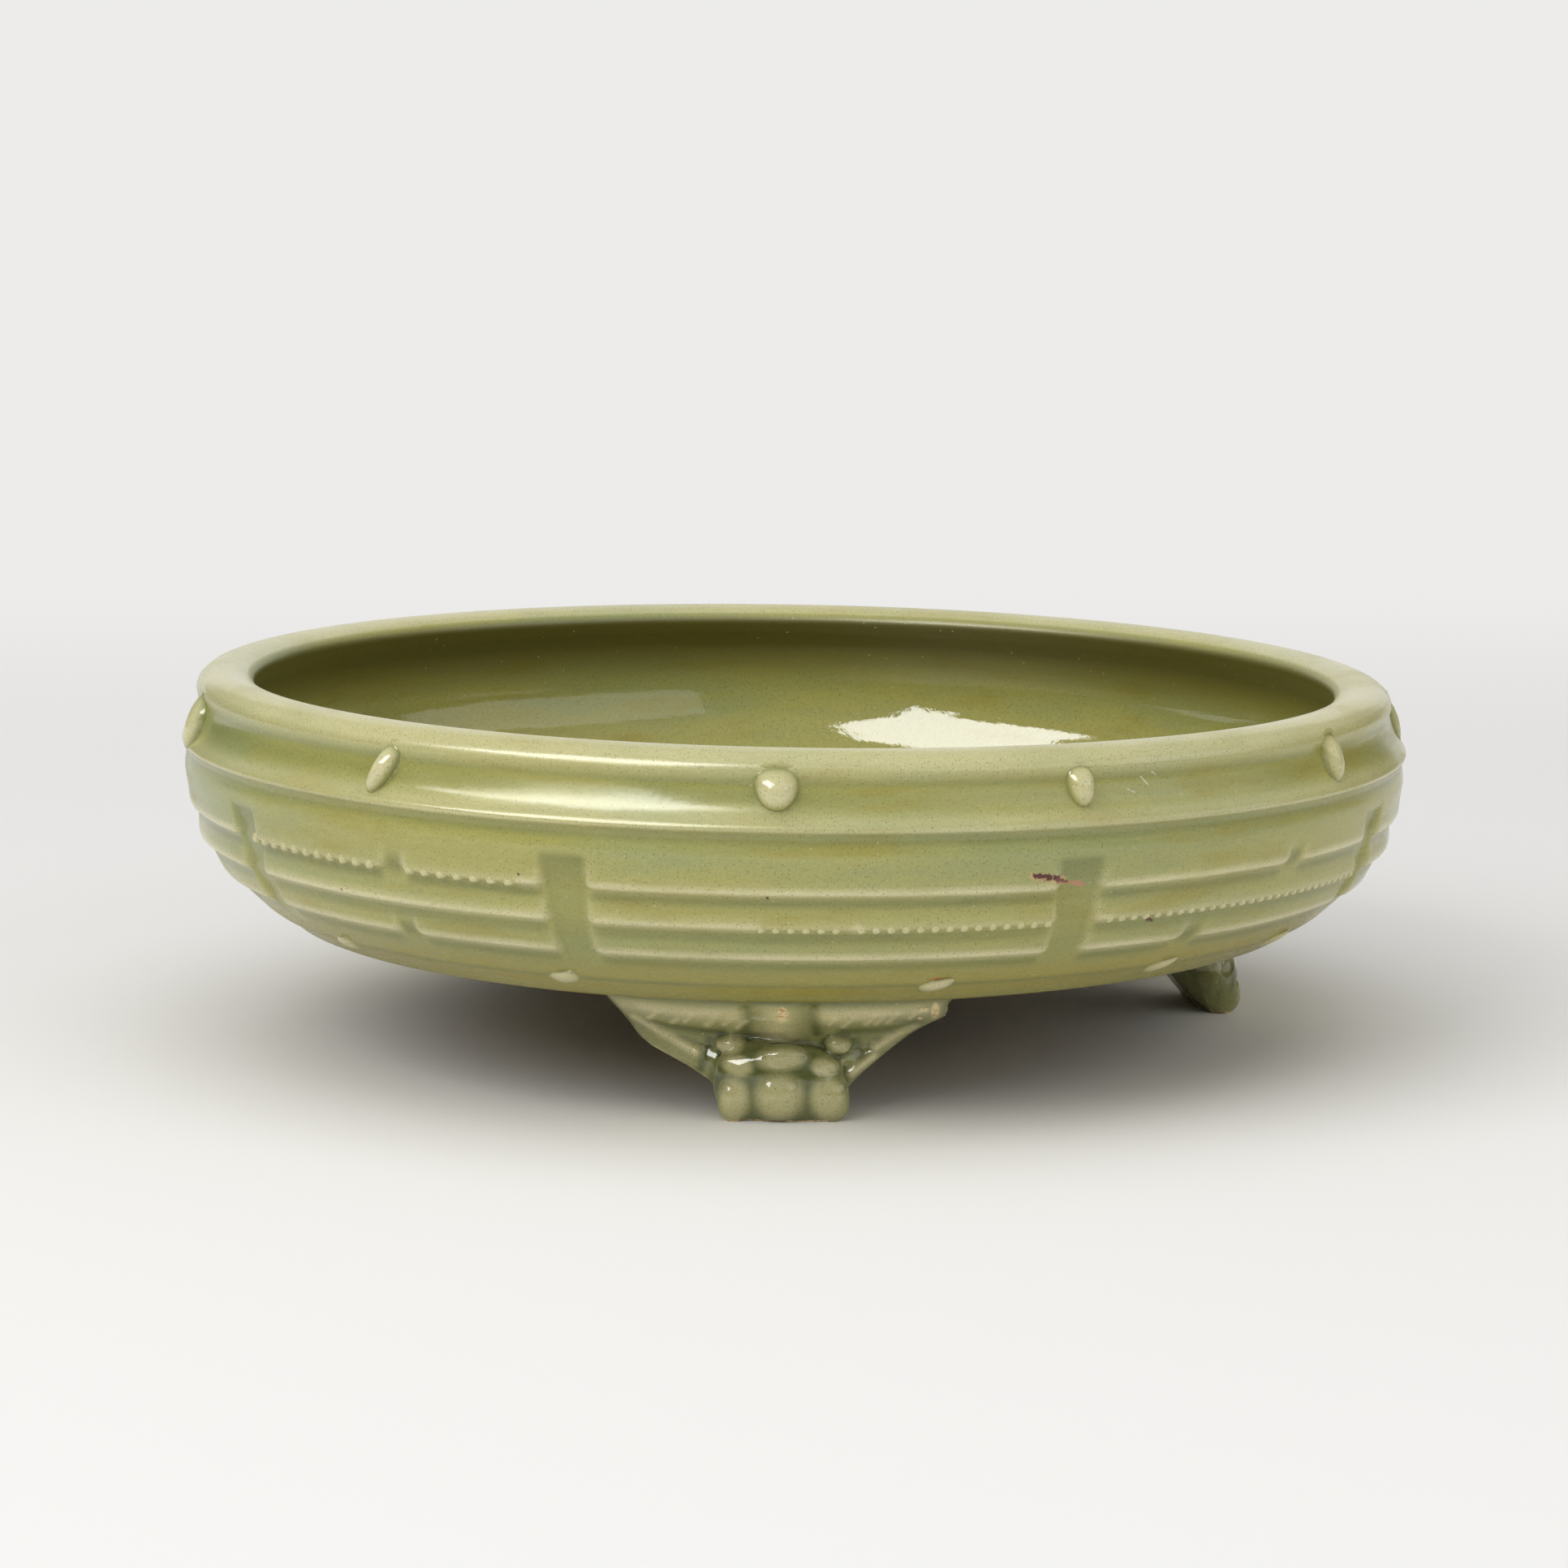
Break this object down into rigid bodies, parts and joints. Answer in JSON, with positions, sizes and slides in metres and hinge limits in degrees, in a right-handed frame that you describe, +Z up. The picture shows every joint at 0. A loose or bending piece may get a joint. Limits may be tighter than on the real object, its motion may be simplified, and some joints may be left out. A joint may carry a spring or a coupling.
{
  "type": "tripod censer",
  "caption": "Low wide censer with a rolled rim, studded shoulder, panels of raised broken and unbroken lines, and lion-mask feet; an open bowl for burning incense in ash.",
  "frame": {"origin": "On the ground under the middle of the bowl, at the middle of the base of the overall box.", "axes": "+Z up; the censer faces -Y with one foot in front; +X is to the right of someone who looks at its face."},
  "size_m": [0.2656, 0.2656, 0.0811],
  "materials": {
    "bowl_glaze": "glossy",
    "foot_glaze": "glossy",
    "stud_glaze": "glossy"
  },
  "bodies": {
    "root": {"bowl": "bowl_glaze", "mask_foot_front": "foot_glaze", "mask_foot_right": "foot_glaze", "mask_foot_back": "foot_glaze", "shoulder_stud_01": "stud_glaze", "shoulder_stud_02": "stud_glaze", "shoulder_stud_03": "stud_glaze", "shoulder_stud_04": "stud_glaze", "shoulder_stud_05": "stud_glaze", "shoulder_stud_06": "stud_glaze", "shoulder_stud_07": "stud_glaze", "shoulder_stud_08": "stud_glaze", "shoulder_stud_09": "stud_glaze", "shoulder_stud_10": "stud_glaze", "shoulder_stud_11": "stud_glaze", "base_stud_01": "stud_glaze", "base_stud_02": "stud_glaze", "base_stud_03": "stud_glaze", "base_stud_04": "stud_glaze", "base_stud_05": "stud_glaze", "base_stud_06": "stud_glaze", "base_stud_07": "stud_glaze", "base_stud_08": "stud_glaze", "base_stud_09": "stud_glaze", "base_stud_10": "stud_glaze", "base_stud_11": "stud_glaze", "base_stud_12": "stud_glaze"}
  },
  "joints": []
}
